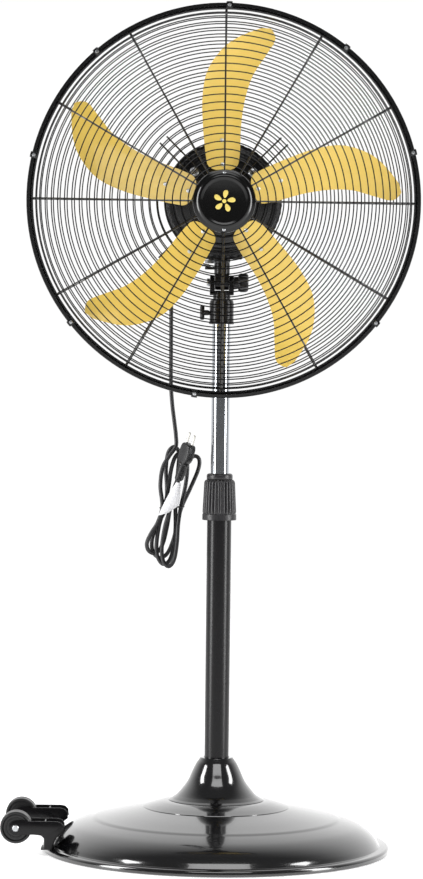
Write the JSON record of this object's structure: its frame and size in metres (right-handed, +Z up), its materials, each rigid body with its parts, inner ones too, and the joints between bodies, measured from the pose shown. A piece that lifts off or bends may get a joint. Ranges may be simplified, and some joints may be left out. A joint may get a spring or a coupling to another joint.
{
  "type": "pedestal fan",
  "caption": "Large pedestal fan: round wire guard with curved yellow blades, chrome telescopic pole, ribbed height collar, round weighted black base with tilt-and-roll wheels.",
  "frame": {"origin": "on the floor at the pole's axis, on the flat underside of the bottom plate", "axes": "+Z up along the pole, the fan blows towards -Y, +X to the right seen from the front, the wheels are on the -X side"},
  "size_m": [0.747, 0.64, 1.5456],
  "materials": {
    "base_gloss": "gloss black stove enamel on pressed steel",
    "satin_paint": "satin black powder coat",
    "guard_wire": "black powder-coated steel wire",
    "black_plastic": "moulded black plastic with a fine grain",
    "badge_gloss": "gloss black moulded plastic",
    "chrome": "bright chrome plate",
    "zinc": "bright zinc plate",
    "steel": "bare turned or pressed steel",
    "yellow_paint": "semi-gloss golden yellow paint on pressed sheet",
    "copper": "varnished copper wire",
    "cast_iron": "rough cast iron",
    "wheel_rubber": "hard moulded rubber, satin black",
    "cord_rubber": "black flexible cord jacket",
    "label_paper": "white paper label, blank"
  },
  "bodies": {
    "stand": {"base_cover": "base_gloss", "base_ballast": "cast_iron", "base_bottom_plate": "satin_paint", "base_stud": "zinc", "base_flare": "base_gloss", "pole_socket": "steel", "wheel_fork_front": "satin_paint", "wheel_fork_rear": "satin_paint", "wheel_axle_front": "zinc", "wheel_axle_rear": "zinc", "outer_pole": "satin_paint", "pole_bushing": "black_plastic"},
    "front_wheel": {"wheel_front": "wheel_rubber"},
    "rear_wheel": {"wheel_rear": "wheel_rubber"},
    "collar": {"height_collar": "black_plastic", "collar_cap": "black_plastic"},
    "mast": {"inner_pole": "chrome", "pole_clamp": "satin_paint", "tilt_yoke": "satin_paint", "tilt_bolt": "zinc"},
    "wing_screw": {"clamp_wing_screw": "satin_paint"},
    "tilt_knob": {"tilt_knob": "black_plastic"},
    "neck": {"tilt_knuckle": "satin_paint"},
    "head": {"motor_front_shell": "satin_paint", "motor_rear_shell": "satin_paint", "stator_core": "steel", "front_winding": "copper", "rear_winding": "copper", "front_bearing": "zinc", "rear_bearing": "zinc", "motor_screw_1": "zinc", "motor_screw_2": "zinc", "motor_screw_3": "zinc", "motor_screw_4": "zinc", "gearbox_housing": "black_plastic", "gearbox_cover": "black_plastic", "capacitor": "zinc", "cord_gland": "black_plastic", "front_guard": "guard_wire", "rear_guard": "guard_wire", "guard_rim_band": "satin_paint", "guard_badge": "badge_gloss"},
    "rotor": {"motor_shaft": "steel", "rotor_core": "steel", "blade_spider": "satin_paint", "blade_1": "yellow_paint", "blade_2": "yellow_paint", "blade_3": "yellow_paint", "blade_4": "yellow_paint", "blade_5": "yellow_paint", "blade_nut": "zinc"},
    "crank": {"crank_shaft": "steel"},
    "link": {"oscillation_link": "steel"},
    "speed_dial": {"speed_knob": "black_plastic"},
    "clutch": {"clutch_knob": "black_plastic"},
    "cord": {"cord_lead": "cord_rubber", "cord_hank": "cord_rubber", "plug": "cord_rubber", "cord_label": "label_paper", "cord_tie": "cord_rubber"}
  },
  "joints": [
    {"name": "front_wheel_spin", "type": "hinge", "parent": "stand", "child": "front_wheel", "pos_m": [-0.364, -0.086, 0.05], "axis": [0, 1, 0], "continuous": true},
    {"name": "rear_wheel_spin", "type": "hinge", "parent": "stand", "child": "rear_wheel", "pos_m": [-0.364, 0.086, 0.05], "axis": [0, 1, 0], "continuous": true},
    {"name": "collar_twist", "type": "hinge", "parent": "stand", "child": "collar", "pos_m": [0, 0, 0.64], "axis": [0, 0, 1], "range_deg": [0, 90]},
    {"name": "height", "type": "slide", "parent": "stand", "child": "mast", "axis": [0, 0, 1], "range_m": [-0.22, 0.12]},
    {"name": "wing_screw_turn", "type": "hinge", "parent": "mast", "child": "wing_screw", "pos_m": [-0.036, 0, 0.991], "axis": [1, 0, 0], "range_deg": [-90, 90]},
    {"name": "tilt_knob_turn", "type": "hinge", "parent": "mast", "child": "tilt_knob", "pos_m": [0.036, 0, 1.047], "axis": [1, 0, 0], "range_deg": [-180, 180]},
    {"name": "tilt", "type": "hinge", "parent": "mast", "child": "neck", "pos_m": [0, 0, 1.047], "axis": [-1, 0, 0], "range_deg": [-11, 28]},
    {"name": "oscillation", "type": "hinge", "parent": "neck", "child": "head", "pos_m": [0, -0.00281, 1.09432], "axis": [0, -0.0593, 0.9982], "range_deg": [-45, 45]},
    {"name": "rotor_spin", "type": "hinge", "parent": "head", "child": "rotor", "pos_m": [0, -0.00892, 1.19714], "axis": [0, 0.9982, 0.0593], "continuous": true},
    {"name": "crank_turn", "type": "hinge", "parent": "head", "child": "crank", "pos_m": [-0.021, 0.05967, 1.08801], "axis": [0, -0.0593, 0.9982], "range_deg": [-72, 72]},
    {"name": "link_turn", "type": "hinge", "parent": "crank", "child": "link", "pos_m": [-0.0399, 0.06006, 1.08152], "axis": [0, -0.0593, 0.9982], "range_deg": [-72, 72]},
    {"name": "speed_dial_turn", "type": "hinge", "parent": "head", "child": "speed_dial", "pos_m": [0, 0.09316, 1.16513], "axis": [0, 0.9982, 0.0593], "range_deg": [0, 135]},
    {"name": "clutch_push", "type": "slide", "parent": "head", "child": "clutch", "axis": [0, -0.0593, 0.9982], "range_m": [-0.008, 0]},
    {"name": "cord_hang", "type": "hinge", "parent": "head", "child": "cord", "pos_m": [-0.058, 0.057, 1.13293], "axis": [-1, 0, 0], "range_deg": [-28, 11]}
  ],
  "couplings": [
    {"joint": "crank_turn", "follows": "oscillation", "ratio": -1.6},
    {"joint": "link_turn", "follows": "oscillation", "ratio": 1.6},
    {"joint": "cord_hang", "follows": "tilt", "ratio": -1}
  ]
}
